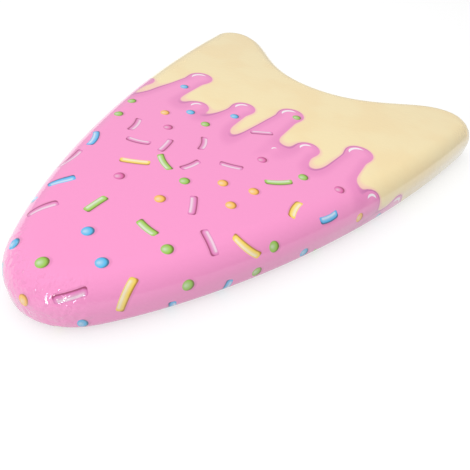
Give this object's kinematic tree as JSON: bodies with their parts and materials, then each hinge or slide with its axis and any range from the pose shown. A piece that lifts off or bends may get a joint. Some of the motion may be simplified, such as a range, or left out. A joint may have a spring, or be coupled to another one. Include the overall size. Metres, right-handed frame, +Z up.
{
  "type": "bodyboard",
  "caption": "Small children's foam bodyboard with a rounded nose, two rounded tail tips, a hollow tail and a film-covered deck.",
  "frame": {"origin": "centre of the board's box at its lowest face, the face of the slick sheet", "axes": "+X to the nose, +Y to the rider's left, +Z up through the deck"},
  "size_m": [0.42, 0.32, 0.035],
  "materials": {
    "eps_foam": "matte moulded bead foam",
    "hot_melt": "satin adhesive film",
    "pe_foam": "matte closed-cell foam",
    "printed_film": "glossy laminated printed film",
    "slick": "smooth satin sheet",
    "seal": "satin hot-melt bead"
  },
  "bodies": {
    "root": {"foam_core": "eps_foam", "deck_glue_film": "hot_melt", "deck_foam_skin": "pe_foam", "deck_print_film": "printed_film", "bottom_glue_film": "hot_melt", "bottom_foam_skin": "pe_foam", "slick_sheet": "slick", "edge_seal": "seal"}
  },
  "joints": []
}
